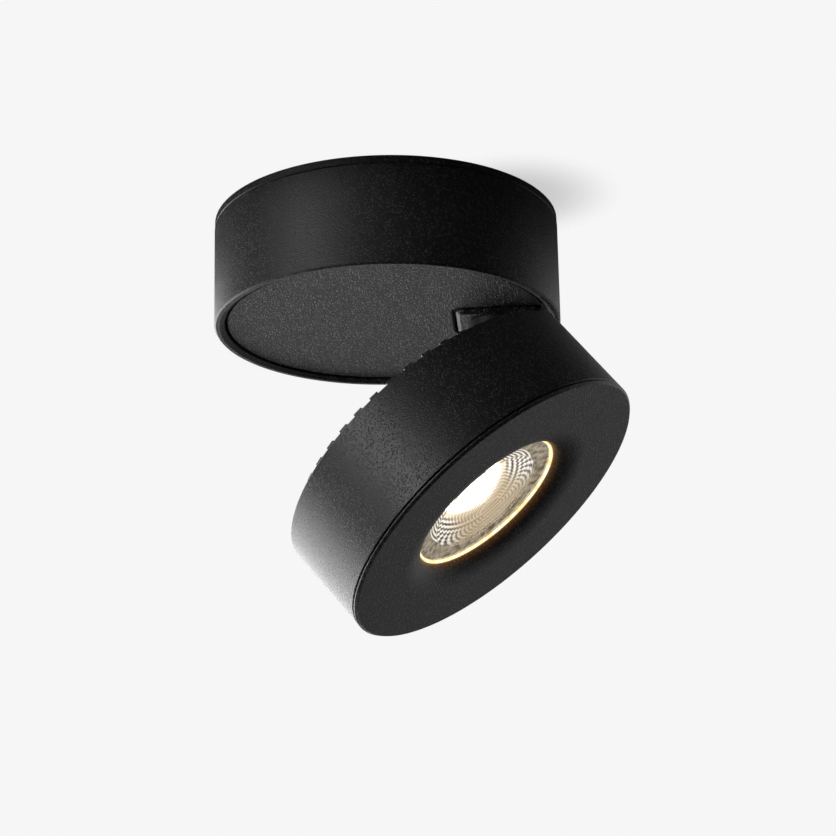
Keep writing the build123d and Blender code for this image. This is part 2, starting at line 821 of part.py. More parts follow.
def make_head_housing():
    shell = turned([
        (head_bore, head_front_z), (head_radius - head_front_edge, head_front_z),
        (head_radius, head_front_z + head_front_edge), (head_radius, back_z - head_back_edge),
        (head_radius - head_back_edge, back_z), (head_radius - back_rim_width, back_z),
        (head_radius - back_rim_width, back_z - rib_depth), (0, back_z - rib_depth),
        (0, pedestal_z), (pedestal_radius, pedestal_z), (pedestal_radius, floor_z), (head_bore, floor_z),
    ])
    shell += rod(rib_inner_radius, back_z - rib_depth, back_z)
    shell += make_ribs()
    pad = block(pad_start, head_radius - back_rim_width / 2, pad_half_width, back_z - rib_depth, back_z)
    arm_room = block(pad_start, 2 * head_radius, pad_half_width, back_z, back_z + 2 * rib_rise)
    shell += pad
    shell -= arm_room
    foot_z = back_z - bracket_depth
    foot_half_width = bracket_half_width + press_gap
    shell -= block(bracket_start - press_gap, bracket_end() + loose_gap, foot_half_width, foot_z, back_z)
    shell -= block(bracket_end(), 2 * head_radius, pin_reach() + loose_gap, foot_z, back_z)
    for side in (-1, 1):
        place = Pos(bracket_screw_x, side * bracket_screw_y, 0)
        shell += place * rod(bracket_post_radius, back_z - bracket_screw_length - bracket_post_floor, floor_z)
        shell -= place * rod(bracket_screw_radius + press_gap, back_z - bracket_screw_length, back_z)
    shell -= Pos(lead_hole_x, 0, 0) * rod(lead_hole_radius, floor_z, back_z)
    for side in (-1, 1):
        place = Pos(side * holder_screw_x, 0, 0)
        shell -= place * rod(holder_screw_radius + press_gap, pedestal_z, pedestal_z + holder_screw_bite)
    return folded_to_head(shell)


def make_ribs():
    """Radial cooling ribs that stand a little above the back rim, with a gap at the hinge."""
    half = math.tan(math.radians(rib_angle / 2))
    outer = head_radius - rib_inset
    inner = rib_inner_radius - cut_margin
    outline = Polyline((inner, -inner * half), (outer, -outer * half), (outer, outer * half),
                       (inner, inner * half), close=True)
    rib = extrude(make_face(outline), rib_depth + rib_rise)
    pitch = 360 / rib_count
    low = Pos(0, 0, back_z - rib_depth)
    return [low * Rot(0, 0, (step + 0.5) * pitch) * rib for step in range(rib_count)]


def make_head_grommet():
    bore = lead_grommet_bore
    neck = lead_hole_radius - press_gap
    lip = lead_hole_radius + lead_grommet_lip
    top_z = back_z + lead_grommet_rise
    low_z = floor_z - lead_grommet_lip
    ring = turned([
        (bore, low_z), (lip, low_z), (lip, floor_z - press_gap), (neck, floor_z - press_gap),
        (neck, top_z), (bore, top_z),
    ])
    return folded_to_head(Pos(lead_hole_x, 0, 0) * ring)


def make_front_seal():
    outer = head_radius - ring_groove_inset
    ring = tube(outer, head_bore, face_z + ring_band, head_front_z)
    return folded_to_head(ring)


def make_front_ring():
    """Face ring whose opening rounds over from the flat face, ever steeper, down to the lens."""
    spigot = head_bore - loose_gap
    spigot_bore = spigot - ring_spigot_wall
    band_z = face_z + ring_band
    plate_z = face_z + ring_plate
    spigot_z = band_z + ring_spigot_depth
    middle_run = dish_radius - throat_radius - throat_round
    dish_round = (middle_run ** 2 + throat_depth ** 2 - throat_round ** 2) / (2 * (throat_depth - throat_round))
    meet = dish_round / (dish_round - throat_round)
    meet_radius = dish_radius - meet * middle_run
    meet_z = face_z + dish_round - meet * (dish_round - throat_depth)
    dish = TangentArc((dish_radius, 0, face_z), (meet_radius, 0, meet_z), tangent=(-1, 0, 0))
    throat = TangentArc(dish @ 1, (throat_radius, 0, lens_z), tangent=dish % 1)
    outer = Polyline(
        (throat_radius, 0, lens_z), (hub_bore, 0, lens_z), (hub_bore, 0, retainer_z),
        (hub_radius, 0, retainer_z), (hub_radius, 0, plate_z), (spigot_bore, 0, plate_z),
        (spigot_bore, 0, spigot_z), (spigot, 0, spigot_z), (spigot, 0, band_z), (head_radius, 0, band_z),
        (head_radius, 0, face_z + ring_edge), (head_radius - ring_edge, 0, face_z), (dish_radius, 0, face_z))
    ring = revolve(make_face([*outer.edges(), dish, throat]), Axis.Z)
    for angle in retainer_screw_angles:
        x, y = at_angle((hub_bore + hub_radius) / 2, angle)
        low_z = retainer_z - retainer_screw_bite
        ring -= Pos(x, y, 0) * rod(retainer_screw_radius + press_gap, low_z, retainer_z)
    return folded_to_head(ring)


def make_lens():
    """Solid optic: a border, a dome in front of it and a cone that fills the reflector behind it."""
    blank = turned([
        (0, lens_z), (lens_radius, lens_z), (lens_radius, reflector_z),
        (reflector_mouth - optic_gap, reflector_z), (reflector_neck - optic_gap, neck_z), (0, neck_z),
    ])
    bend = (dome_radius ** 2 + dome_height ** 2) / (2 * dome_height)
    crown = Pos(0, 0, lens_z + bend - dome_height) * Sphere(bend)
    crown &= rod(dome_radius, lens_z - 2 * dome_height, lens_z)
    return folded_to_head(blank + crown)


def make_reflector():
    cup = turned([
        (reflector_mouth, reflector_z), (lens_radius, reflector_z), (lens_radius, retainer_z),
        (reflector_mouth + reflector_wall, retainer_z), (reflector_neck + reflector_wall, neck_z),
        (reflector_neck, neck_z),
    ])
    return folded_to_head(cup)


def make_lens_retainer():
    low = retainer_z
    ring = tube(hub_radius - press_gap, lens_radius - retainer_lap, low, low + retainer_height)
    for angle in retainer_screw_angles:
        x, y = at_angle((hub_bore + hub_radius) / 2, angle)
        ring -= Pos(x, y, 0) * rod(retainer_screw_radius + press_gap, low, low + retainer_height)
    return folded_to_head(ring)


def make_retainer_screws():
    seat_z = retainer_z + retainer_height
    body = screw(retainer_screw_radius, seat_z, retainer_height + retainer_screw_bite)
    screws = []
    for angle in retainer_screw_angles:
        x, y = at_angle((hub_bore + hub_radius) / 2, angle)
        screws.append(folded_to_head(Pos(x, y, 0) * body))
    return group(screws)


def make_thermal_pad():
    pad = Pos(0, 0, pedestal_z - thermal_pad_height / 2) * Box(cob_side, cob_side, thermal_pad_height)
    return folded_to_head(pad)


def make_cob_board():
    board = Pos(0, 0, board_z + cob_height / 2) * Box(cob_side, cob_side, cob_height)
    return folded_to_head(board)


def make_cob_emitter():
    return folded_to_head(rod(emitter_radius, emitter_z, board_z))


def make_cob_holder():
    holder = rod(holder_radius, board_z - holder_height, pedestal_z)
    pocket = Pos(0, 0, (board_z + pedestal_z) / 2) * Box(cob_side + loose_gap, cob_side + loose_gap,
                                                        pedestal_z - board_z)
    holder -= pocket
    holder -= rod(reflector_neck + reflector_wall + loose_gap, board_z - holder_height, board_z)
    for side in (-1, 1):
        place = Pos(side * holder_screw_x, 0, 0)
        holder -= place * rod(holder_screw_radius + press_gap, board_z - holder_height, pedestal_z)
    return folded_to_head(holder)


def make_holder_screws():
    seat_z = board_z - holder_height
    bite = pedestal_z - seat_z + holder_screw_bite
    body = Pos(0, 0, seat_z) * Rot(180, 0, 0) * Pos(0, 0, -seat_z) * screw(holder_screw_radius, seat_z, bite)
    places = [Pos(side * holder_screw_x, 0, 0) for side in (-1, 1)]
    return group([folded_to_head(place * body) for place in places])


makers = {
    "mounting_plate": make_mounting_plate,
    "cable_grommet": make_cable_grommet,
    "base_housing": make_base_housing,
    "plate_set_screws": make_set_screws,
    "base_disc": make_base_disc,
    "base_disc_screws": make_disc_screws,
    "driver_case": make_driver_case,
    "driver_lid": make_driver_lid,
    "driver_board": make_driver_board,
    "driver_transformer": make_driver_transformer,
    "driver_capacitors": make_driver_capacitors,
    "driver_screws": make_driver_screws,
    "terminal_block": make_terminal_block,
    "terminal_screws": make_terminal_screws,
    "terminal_fixing_screws": make_terminal_fixings,
    "cable_clamp": make_cable_clamp,
    "cable_clamp_screws": make_clamp_screws,
    "earth_tag": make_earth_tag,
    "earth_screw": make_earth_screw,
    "hinge_block": make_hinge_block,
    "hinge_block_screws": make_block_screws,
    "swivel_stop_pin": make_stop_pin,
    "swivel_bush": make_swivel_bush,
    "swivel_friction_washer": make_swivel_washer,
    "swivel_arm": make_swivel_arm,
    "swivel_spindle": make_swivel_spindle,
    "swivel_spring_washer": make_spring_washer,
    "swivel_nut": make_spindle_nut,
    "hinge_bracket": make_hinge_bracket,
    "hinge_bracket_screws": make_bracket_screws,
    "tilt_pin": make_tilt_pin,
    "tilt_washers": make_tilt_washers,
    "tilt_clips": make_tilt_clips,
    "head_housing": make_head_housing,
    "head_lead_grommet": make_head_grommet,
    "front_seal": make_front_seal,
    "front_ring": make_front_ring,
    "lens": make_lens,
    "reflector": make_reflector,
    "lens_retainer": make_lens_retainer,
    "lens_retainer_screws": make_retainer_screws,
    "thermal_pad": make_thermal_pad,
    "cob_board": make_cob_board,
    "cob_emitter": make_cob_emitter,
    "cob_holder": make_cob_holder,
    "cob_holder_screws": make_holder_screws,
}

os.makedirs("parts", exist_ok=True)
for name, make in makers.items():
    export_step(make(), "parts/" + name + ".step")
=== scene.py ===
import json
import math

import bmesh
import bpy
from mathutils import Matrix, Vector


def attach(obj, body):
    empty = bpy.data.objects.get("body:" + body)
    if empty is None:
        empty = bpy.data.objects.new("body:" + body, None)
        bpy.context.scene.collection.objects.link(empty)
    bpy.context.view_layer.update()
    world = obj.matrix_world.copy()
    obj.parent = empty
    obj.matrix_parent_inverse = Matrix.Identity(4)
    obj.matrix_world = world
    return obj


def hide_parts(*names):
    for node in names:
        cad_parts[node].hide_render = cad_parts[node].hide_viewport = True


# A surface mounted ceiling spotlight seen from below. Metres and degrees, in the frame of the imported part:
# the ceiling is the plane z = 0, and the object hangs below it.

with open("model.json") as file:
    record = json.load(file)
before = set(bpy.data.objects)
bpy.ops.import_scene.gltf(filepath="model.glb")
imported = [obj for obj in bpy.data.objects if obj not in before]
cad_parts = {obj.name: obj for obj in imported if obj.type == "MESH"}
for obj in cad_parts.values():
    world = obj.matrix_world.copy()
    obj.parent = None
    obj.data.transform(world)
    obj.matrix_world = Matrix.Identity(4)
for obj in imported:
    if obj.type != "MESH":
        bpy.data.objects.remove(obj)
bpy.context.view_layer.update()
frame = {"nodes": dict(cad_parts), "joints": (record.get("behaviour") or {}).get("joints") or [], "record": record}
nodes = frame["nodes"]

# ---- camera --------------------------------------------------------------------------------------

camera_place = Vector((0.05236, -0.75793, -0.31752))
camera_aim = Vector((0.00830, 0.0, -0.06018))
camera_roll = -1.11
camera_lens = 120.8
sensor_width = 36.0

# ---- lights --------------------------------------------------------------------------------------

backdrop_grey = 0.922
# What the object's paint reflects between the soft boxes.
room_grey = 0.004
# Soft boxes around the object: azimuth and elevation of the middle in degrees, brightness, sharpness.
soft_boxes = {
    "behind": (118, 12, 6.6, 12),
    "left_front": (222, 2, 25.0, 80),
    "behind_left_low": (146, -18, 6.3, 20),
    "behind_right": (60, 17, 1.2, 12),
    "right": (30, 15, 0.7, 12),
    "below": (42, -35, 1.6, 40),
}

# ---- ceiling -------------------------------------------------------------------------------------

ceiling_gap = 0.0003
ceiling_half = 0.6
ceiling_matt = 0.30
ceiling_glow = 0.58
# The share of the glow that reaches the object.
ceiling_glow_on_object = 0.03
# The camera sees the ceiling only as a soft shadow around this place, which fades out between two radii.
shadow_side = (0.038, -0.016, 0.0)
shadow_clear = 0.008
shadow_end = 0.033
# To light, the ceiling is a wider screen around the base, which fades out between two radii.
screen_clear = 0.07
screen_end = 0.17

# ---- textures ------------------------------------------------------------------------------------

# Most of a noise texture's values lie between these two.
noise_low = 0.3
noise_high = 0.7
# Powder coat: where a grain ends and where its top begins, in cells of the texture, and the chances from
# which a grain is paler and at which it is palest. The paler grains are partly the coat's grain and partly painted
# glints.
grain_edge = 0.55
grain_top = 0.15
pale_from = 0.2
pale_full = 0.9
coat_noise_height = 0.5
coat_noise_roughness = 0.7
coat_dark_share = 0.7
coat_pale_glint_gain = 4.0
coat_matt = 0.05
coat_gloss = 0.1
metal_grain = 0.0004
metal_dark_share = 0.85
metal_matt = 0.12
metal_bump = 0.00002
metal_bump_strength = 0.3
plain_grain = 0.0006
plain_dark_share = 0.88
plain_matt = 0.05
plain_bump = 0.00002
plain_bump_strength = 0.5
plain_fine_share = 0.6
plain_slow_share = 0.4
plain_slow_scale = 60.0

# ---- lens ----------------------------------------------------------------------------------------

optic_index = 1.2
lathe_steps = 256
on_axis = 1e-7
lens_edge_share = 0.97
cup_mouth_band = 0.0005
ridge_start = 0.0032
ridge_pitch = 0.00105
ridge_height = 0.00007
ridge_steps = 6
dome_radius = 0.0176
dome_wall = 0.0003
dome_crown = 0.0024
cone_gap = 0.0004
optic_noise_scale = 900.0
optic_bump = 0.00002
optic_bump_strength = 0.15
optic_smoothest = 0.01
optic_roughest = 0.04
optic_tone = (0.99, 0.98, 0.96)
optic_coat_roughness = 0.02
optic_sharp_angle = 20.0

# ---- lit heart of the lens, painted light --------------------------------------------------------

glow_radius = 0.0102
glow_depth = 0.0118
glow_edge_radius = 0.0186
glow_edge_depth = 0.0034
glow_border_depth = 0.0006
glow_wall = 0.0006
glow_ring_pitch = 0.00115
glow_sharp_angle = 30.0
# Painted reflections on the lens's rings: their contrast is high in two opposite sectors and low between them.
sector_count = 2.0
sector_low = 0.25
sector_high = 0.85
ring_pale_low = (0.82, 0.66, 0.44)
ring_pale_high = (1.3, 1.22, 1.1)
ring_dark_low = (0.46, 0.34, 0.21)
ring_dark_high = (0.045, 0.03, 0.018)
halo_width = 0.0022
halo_tone = (1.25, 1.05, 0.78)
border_fade = 0.0006
border_noise_scale = 500.0
border_dark = (0.16, 0.12, 0.075)
border_pale = (0.5, 0.43, 0.32)
core_outside = 0.0004
core_inside = 0.0008
core_tone = (6.0, 5.6, 5.0)
glow_on_matt = 0.1

# ---- light source and reflector ------------------------------------------------------------------

emitter_noise_scale = 1500.0
emitter_strength = 9.0
emitter_on_matt = 0.3
emitter_warm = (1.0, 0.86, 0.62)
emitter_pale = (1.0, 0.93, 0.78)
cup_noise_scale = 700.0
cup_dark = (0.86, 0.78, 0.62)
cup_pale = (0.95, 0.9, 0.8)
cup_roughness = 0.12

# ---- lens edge's painted golden glow and its painted light on the throat -------------------------

rim_strength = 1.35
rim_width = 0.0007
rim_height = 0.0007
rim_side_gap = 0.00003
rim_back_gap = 0.00002
rim_flat_share = 0.6
rim_teeth = 130
rim_tooth = 0.00018
rim_sharp_angle = 30.0
rim_noise_scale = 420.0
rim_noise_low = 0.35
rim_noise_high = 0.65
rim_glow_gold = (1.0, 0.7, 0.3)
rim_pale = (1.0, 0.9, 0.66)
rim_amber = (0.55, 0.24, 0.03)
rim_amber_from = 0.00022
rim_amber_full = 0.00006
throat_teeth_in = 0.00015
throat_teeth_out = 0.00025
throat_near_depth = 0.0011
throat_glow_depth = 0.0034
throat_full_depth = 0.0003
throat_back = 0.0003
throat_reach = 0.0262
throat_far_tone = (0.06, 0.024, 0.004)
throat_near_tone = (0.75, 0.30, 0.03)


# ---- helpers -------------------------------------------------------------------------------------

class Shader:
    """A node material (or the world) with short calls for adding and joining nodes."""

    def __init__(self, owner):
        owner.use_nodes = True
        self.tree = owner.node_tree
        self.tree.nodes.clear()
        self.owner = owner

    def add(self, kind, inputs=None, **settings):
        node = self.tree.nodes.new("ShaderNode" + kind)
        for key, value in settings.items():
            setattr(node, key, value)
        for key, value in (inputs or {}).items():
            if isinstance(value, bpy.types.NodeSocket):
                self.tree.links.new(value, node.inputs[key])
            else:
                node.inputs[key].default_value = value
        return node

    def math(self, operation, a, b=0.0):
        return self.add("Math", {0: a, 1: b}, operation=operation).outputs[0]

    def dot(self, a, b):
        return self.add("VectorMath", {0: a, 1: b}, operation="DOT_PRODUCT").outputs["Value"]

    def ramp(self, value, low, high, to_low=0.0, to_high=1.0, smooth=True):
        node = self.add("MapRange", {"Value": value, "From Min": low, "From Max": high,
                                     "To Min": to_low, "To Max": to_high})
        node.interpolation_type = "SMOOTHSTEP" if smooth else "LINEAR"
        return node.outputs["Result"]

    def spread(self, noise, to_low=0.0, to_high=1.0):
        """A noise texture's usual values stretched from to_low to to_high."""
        return self.ramp(noise, noise_low, noise_high, to_low, to_high)

    def mix(self, factor, a, b):
        node = self.add("Mix", {0: factor, 6: a, 7: b}, data_type="RGBA")
        return node.outputs[2]

    def place(self):
        return self.add("TexCoord").outputs["Object"]

    def noise(self, scale, detail=2.0, roughness=0.5, place=None):
        inputs = {"Vector": place or self.place(), "Scale": scale, "Detail": detail, "Roughness": roughness}
        return self.add("TexNoise", inputs).outputs["Fac"]

    def bump(self, height, strength, distance):
        inputs = {"Height": height, "Strength": strength, "Distance": distance}
        return self.add("Bump", inputs).outputs["Normal"]

    def finish(self, surface):
        kind = "OutputWorld" if isinstance(self.owner, bpy.types.World) else "OutputMaterial"
        self.add(kind, {"Surface": surface})
        return self.owner


def new_material(name):
    return Shader(bpy.data.materials.new(name))


def grey(value):
    return (value, value, value, 1.0)


def shade(tone, share=1.0):
    """A tone's red, green and blue times a share, as a colour socket takes them."""
    return tuple(share * value for value in tone) + (1.0,)


# ---- materials -----------------------------------------------------------------------------------

def powder_coat(name, base, grain, bump, roughness, specks, glow=None):
    """Black powder coat: fine round grains, a share of them paler and glossier than the rest; their paleness is
    partly painted glints.
    """
    s = new_material(name)
    place = s.place()
    fine = s.noise(1 / grain, roughness=coat_noise_roughness, place=place)
    cells = s.add("TexVoronoi", {"Vector": place, "Scale": 1 / grain})
    chance = s.add("SeparateColor", {0: cells.outputs["Color"]}).outputs[0]
    dot = s.ramp(cells.outputs["Distance"], grain_edge, grain_top)
    height = s.math("ADD", s.math("MULTIPLY", dot, chance), s.math("MULTIPLY", fine, coat_noise_height))
    speck = s.math("MULTIPLY", dot, s.ramp(chance, pale_from, pale_full))
    # Paler grains: the coat's own grain, with painted glints in their paleness.
    tone = s.mix(speck, shade(base, coat_dark_share), shade(base, 1 + coat_pale_glint_gain * specks))
    rough = s.ramp(speck, 0.0, 1.0, roughness + coat_matt, roughness - coat_gloss, smooth=False)
    shader = s.add("BsdfPrincipled", {"Base Color": tone, "Roughness": rough,
                                      "Normal": s.bump(height, 1.0, bump)})
    if glow:
        s.tree.links.new(glow(s), shader.inputs["Emission Color"])
        shader.inputs["Emission Strength"].default_value = 1.0
    return s.finish(shader.outputs[0])


def metal(name, base, roughness):
    """Bare metal whose gloss and tone change slightly with a fine texture."""
    s = new_material(name)
    fine = s.noise(1 / metal_grain, detail=3.0)
    tone = s.mix(s.spread(fine), shade(base, metal_dark_share), shade(base))
    rough = s.spread(fine, roughness, roughness + metal_matt)
    normal = s.bump(fine, metal_bump_strength, metal_bump)
    shader = s.add("BsdfPrincipled", {"Base Color": tone, "Metallic": 1.0, "Roughness": rough,
                                      "Normal": normal})
    return s.finish(shader.outputs[0])


def plain_part(name, base, roughness):
    """Moulded plastic, rubber, board or ceramic with a fine texture and slight change of tone."""
    s = new_material(name)
    fine = s.noise(1 / plain_grain, detail=4.0)
    slow = s.noise(plain_slow_scale, detail=1.0)
    mask = s.math("ADD", s.math("MULTIPLY", s.spread(fine), plain_fine_share),
                  s.math("MULTIPLY", slow, plain_slow_share))
    tone = s.mix(mask, shade(base, plain_dark_share), shade(base))
    rough = s.spread(fine, roughness - plain_matt, roughness + plain_matt)
    shader = s.add("BsdfPrincipled", {"Base Color": tone, "Roughness": rough,
                                      "Normal": s.bump(fine, plain_bump_strength, plain_bump)})
    return s.finish(shader.outputs[0])


finishes = {
    "black_paint": powder_coat("black_paint", (0.0065, 0.0065, 0.007),
                               grain=0.0005, bump=0.00014, roughness=0.42, specks=2.6),
    "textured_black": powder_coat("textured_black", (0.009, 0.009, 0.0098),
                                  grain=0.0007, bump=0.00034, roughness=0.46, specks=5.0),
    "satin_black": powder_coat("satin_black", (0.012, 0.012, 0.0122),
                               grain=0.0004, bump=0.00002, roughness=0.4, specks=0.3),
    "black_rubber": plain_part("black_rubber", (0.008, 0.008, 0.008), roughness=0.7),
    "blackened_steel": metal("blackened_steel", (0.05, 0.05, 0.052), roughness=0.4),
    "zinc_steel": metal("zinc_steel", (0.62, 0.63, 0.66), roughness=0.3),
    "brass_fitting": metal("brass_fitting", (0.72, 0.53, 0.25), roughness=0.28),
    "white_plastic": plain_part("white_plastic", (0.8, 0.8, 0.78), roughness=0.45),
    "component_plastic": plain_part("component_plastic", (0.03, 0.03, 0.034), roughness=0.45),
    "circuit_board": plain_part("circuit_board", (0.03, 0.16, 0.07), roughness=0.4),
    "grey_pad": plain_part("grey_pad", (0.42, 0.43, 0.45), roughness=0.7),
    "cob_ceramic": plain_part("cob_ceramic", (0.86, 0.86, 0.83), roughness=0.5),
}


# ---- the head's own frame ------------------------------------------------------------------------

def head_frame():
    """The matrix from the folded head's frame (its axis is the base's Z axis) to the part's frame."""
    joints = {joint["name"]: joint for joint in frame["joints"]}
    swivel = Vector(joints["head_swivel"]["pos_m"])
    hinge = Vector(joints["head_tilt"]["pos_m"])
    axis = joints["head_tilt"]["axis"]
    turn = math.atan2(axis[0], -axis[1])
    tilt = -math.radians(joints["head_tilt"]["range_deg"][0])
    reach = (hinge - swivel).xy.length
    straight = Vector((swivel.x + reach, swivel.y, hinge.z))
    tilted = Matrix.Translation(straight) @ Matrix.Rotation(-tilt, 4, "Y") @ Matrix.Translation(-straight)
    turned = Matrix.Translation(swivel) @ Matrix.Rotation(turn, 4, "Z") @ Matrix.Translation(-swivel)
    return turned @ tilted


head = head_frame()
to_head = head.inverted()


def head_points(node):
    """A node's corners in the folded head's frame, as (radius, height) pairs."""
    points = [to_head @ vertex.co for vertex in nodes[node].data.vertices]
    return [(point.xy.length, point.z) for point in points]


def lathe(name, profile, steps=lathe_steps, tooth=0.0):
    """A mesh turned about the head's axis from closed (radius, height) points, every second step drawn in."""
    vertices = []
    rows = []
    for radius, height in profile:
        if radius < on_axis:
            rows.append([len(vertices)] * steps)
            vertices.append(head @ Vector((0, 0, height)))
            continue
        rows.append([len(vertices) + step for step in range(steps)])
        for step in range(steps):
            angle = 2 * math.pi * step / steps
            reach = radius - tooth * (step % 2)
            vertices.append(head @ Vector((reach * math.cos(angle), reach * math.sin(angle), height)))
    faces = []
    for low, high in zip(rows, rows[1:] + rows[:1]):
        for step in range(steps):
            after = (step + 1) % steps
            ring = [low[step], low[after], high[after], high[step]]
            corners = [v for i, v in enumerate(ring) if v not in ring[:i]]
            if len(corners) > 2:
                faces.append(corners)
    mesh = bpy.data.meshes.new(name)
    mesh.from_pydata([tuple(v) for v in vertices], [], faces)
    mesh.validate()
    shape = bmesh.new()
    shape.from_mesh(mesh)
    bmesh.ops.recalc_face_normals(shape, faces=shape.faces)
    shape.to_mesh(mesh)
    shape.free()
    mesh.update()
    piece = bpy.data.objects.new(name, mesh)
    bpy.context.scene.collection.objects.link(piece)
    return piece


def smooth(piece, sharp_angle):
    """Smooth shading, with edges left sharp where the faces meet at more than sharp_angle."""
    for face in piece.data.polygons:
        face.use_smooth = True
    piece.data.set_sharp_from_angle(angle=math.radians(sharp_angle))


# ---- light engine --------------------------------------------------------------------------------

lens_points = head_points("lens")
lens_radius = max(radius for radius, height in lens_points)
lens_back = max(height for radius, height in lens_points)
lens_front = min(height for radius, height in lens_points if radius > lens_edge_share * lens_radius)
cup_points = head_points("reflector")
cup_neck_z = max(height for radius, height in cup_points)
cup_neck = min(radius for radius, height in cup_points)
cup_mouth = min(radius for radius, height in cup_points if height < lens_back + cup_mouth_band)
throat_radius = min(radius for radius, height in head_points("front_ring"))


def head_place(s):
    """Sockets with the height in front of the lens, the distance from its axis and the angle about it."""
    centre = head @ Vector((0, 0, lens_front))
    offset = s.add("VectorMath", {0: s.place(), 1: tuple(centre)}, operation="SUBTRACT").outputs[0]
    along, across, inward = head.to_3x3().transposed()
    x = s.dot(offset, tuple(along))
    y = s.dot(offset, tuple(across))
    z = s.dot(offset, tuple(inward))
    radius = s.math("SQRT", s.math("ADD", s.math("MULTIPLY", x, x), s.math("MULTIPLY", y, y)))
    return s.math("MULTIPLY", z, -1.0), radius, s.math("ARCTAN2", y, x)


def make_lens():
    """Solid optic: a flat border, a raised dome with ring ridges, and a cone that fills the reflector."""
    profile = [(0.0, lens_front - dome_wall - dome_crown)]
    count = round((dome_radius - ridge_start) / ridge_pitch)
    for ridge in range(count):
        for step in range(ridge_steps):
            share = step / ridge_steps
            radius = ridge_start + (ridge + share) * ridge_pitch
            base = dome_wall + dome_crown * (1 - (radius / dome_radius) ** 2)
            profile.append((radius, lens_front - base - ridge_height * math.sin(math.pi * share)))
    profile += [(dome_radius, lens_front - dome_wall), (dome_radius, lens_front)]
    profile += [(lens_radius, lens_front), (lens_radius, lens_back)]
    profile += [(cup_mouth - cone_gap, lens_back), (cup_neck - cone_gap, cup_neck_z), (0.0, cup_neck_z)]
    return lathe("lens_optic", profile[::-1])


def glass():
    """Clear glass, slightly uneven, with a clear coat that gives it reflections."""
    s = new_material("optic")
    fine = s.noise(optic_noise_scale)
    rough = s.spread(fine, optic_smoothest, optic_roughest)
    shader = s.add("BsdfPrincipled", {"Base Color": shade(optic_tone), "Roughness": rough,
                                      "IOR": optic_index, "Transmission Weight": 1.0,
                                      "Normal": s.bump(fine, optic_bump_strength, optic_bump),
                                      "Coat Weight": 1.0, "Coat Roughness": optic_coat_roughness})
    return s.finish(shader.outputs[0])


def make_glow():
    """The lit heart of the optic as painted light: a stand-in for the image of the light source and the bright
    walls around it.
    """
    front = [(0.0, glow_depth), (glow_radius, glow_depth), (glow_edge_radius, glow_edge_depth),
             (lens_radius - cone_gap, glow_border_depth)]
    back = [(radius, depth + glow_wall) for radius, depth in reversed(front)]
    return lathe("lens_glow", [(radius, lens_front + depth) for radius, depth in front + back])


def glow():
    """Painted light: white-hot in the middle, then ringed walls with painted reflections whose contrast changes
    round the axis, then a border.
    """
    s = new_material("lens_glow")
    _, radius, angle = head_place(s)
    fine = s.noise(border_noise_scale)
    phase = s.math("MULTIPLY", radius, 2 * math.pi / glow_ring_pitch)
    rings = s.math("ADD", s.math("MULTIPLY", s.math("SINE", phase), 0.5), 0.5)
    round_axis = s.math("COSINE", s.math("MULTIPLY", angle, sector_count))
    sector = s.math("ADD", s.math("MULTIPLY", round_axis, 0.5), 0.5)
    sector = s.ramp(sector, sector_low, sector_high)
    pale = s.mix(sector, shade(ring_pale_low), shade(ring_pale_high))
    dark = s.mix(sector, shade(ring_dark_low), shade(ring_dark_high))
    wall = s.mix(rings, pale, dark)
    wall = s.mix(s.ramp(radius, glow_radius + halo_width, glow_radius), wall, shade(halo_tone))
    border = s.mix(s.spread(fine), shade(border_dark), shade(border_pale))
    wall = s.mix(s.ramp(radius, glow_edge_radius - border_fade, glow_edge_radius), wall, border)
    core = s.ramp(radius, glow_radius + core_outside, glow_radius - core_inside)
    tone = s.mix(core, wall, shade(core_tone))
    path = s.add("LightPath").outputs["Is Diffuse Ray"]
    strength = s.ramp(path, 0.0, 1.0, 1.0, glow_on_matt, smooth=False)
    shader = s.add("Emission", {"Color": tone, "Strength": strength})
    return s.finish(shader.outputs[0])


def emitter():
    """The lit source. It lights matt surfaces only faintly, since their glow is painted light in their own
    materials.
    """
    s = new_material("emitter")
    path = s.add("LightPath").outputs["Is Diffuse Ray"]
    fine = s.noise(emitter_noise_scale, detail=1.0)
    tone = s.mix(s.spread(fine), shade(emitter_warm), shade(emitter_pale))
    strength = s.ramp(path, 0.0, 1.0, emitter_strength, emitter_on_matt, smooth=False)
    shader = s.add("Emission", {"Color": tone, "Strength": strength})
    return s.finish(shader.outputs[0])


def mirror_cup():
    """The reflector's metallised plastic."""
    s = new_material("mirror_cup")
    tone = s.mix(s.spread(s.noise(cup_noise_scale)), shade(cup_dark), shade(cup_pale))
    shader = s.add("BsdfPrincipled", {"Base Color": tone, "Metallic": 1.0, "Roughness": cup_roughness})
    return s.finish(shader.outputs[0])


def make_rim():
    """The lens's toothed edge, which glows all round with painted light."""
    outer = throat_radius - rim_side_gap
    low = lens_front - rim_back_gap
    high = lens_front - rim_height
    flat = rim_flat_share * rim_width
    profile = [(outer - rim_width, low), (outer - flat, high), (outer, high), (outer, low)]
    return lathe("lens_rim", profile, 2 * rim_teeth, rim_tooth)


def painted_rim_glow():
    """Painted golden light with paler spots, and amber towards the throat."""
    s = new_material("painted_rim_glow")
    _, radius, _ = head_place(s)
    fine = s.noise(rim_noise_scale)
    tone = s.mix(s.ramp(fine, rim_noise_low, rim_noise_high), shade(rim_glow_gold), shade(rim_pale))
    outside = s.ramp(radius, throat_radius - rim_amber_from, throat_radius - rim_amber_full)
    tone = s.mix(outside, tone, shade(rim_amber))
    shader = s.add("Emission", {"Color": tone, "Strength": rim_strength})
    return s.finish(shader.outputs[0])


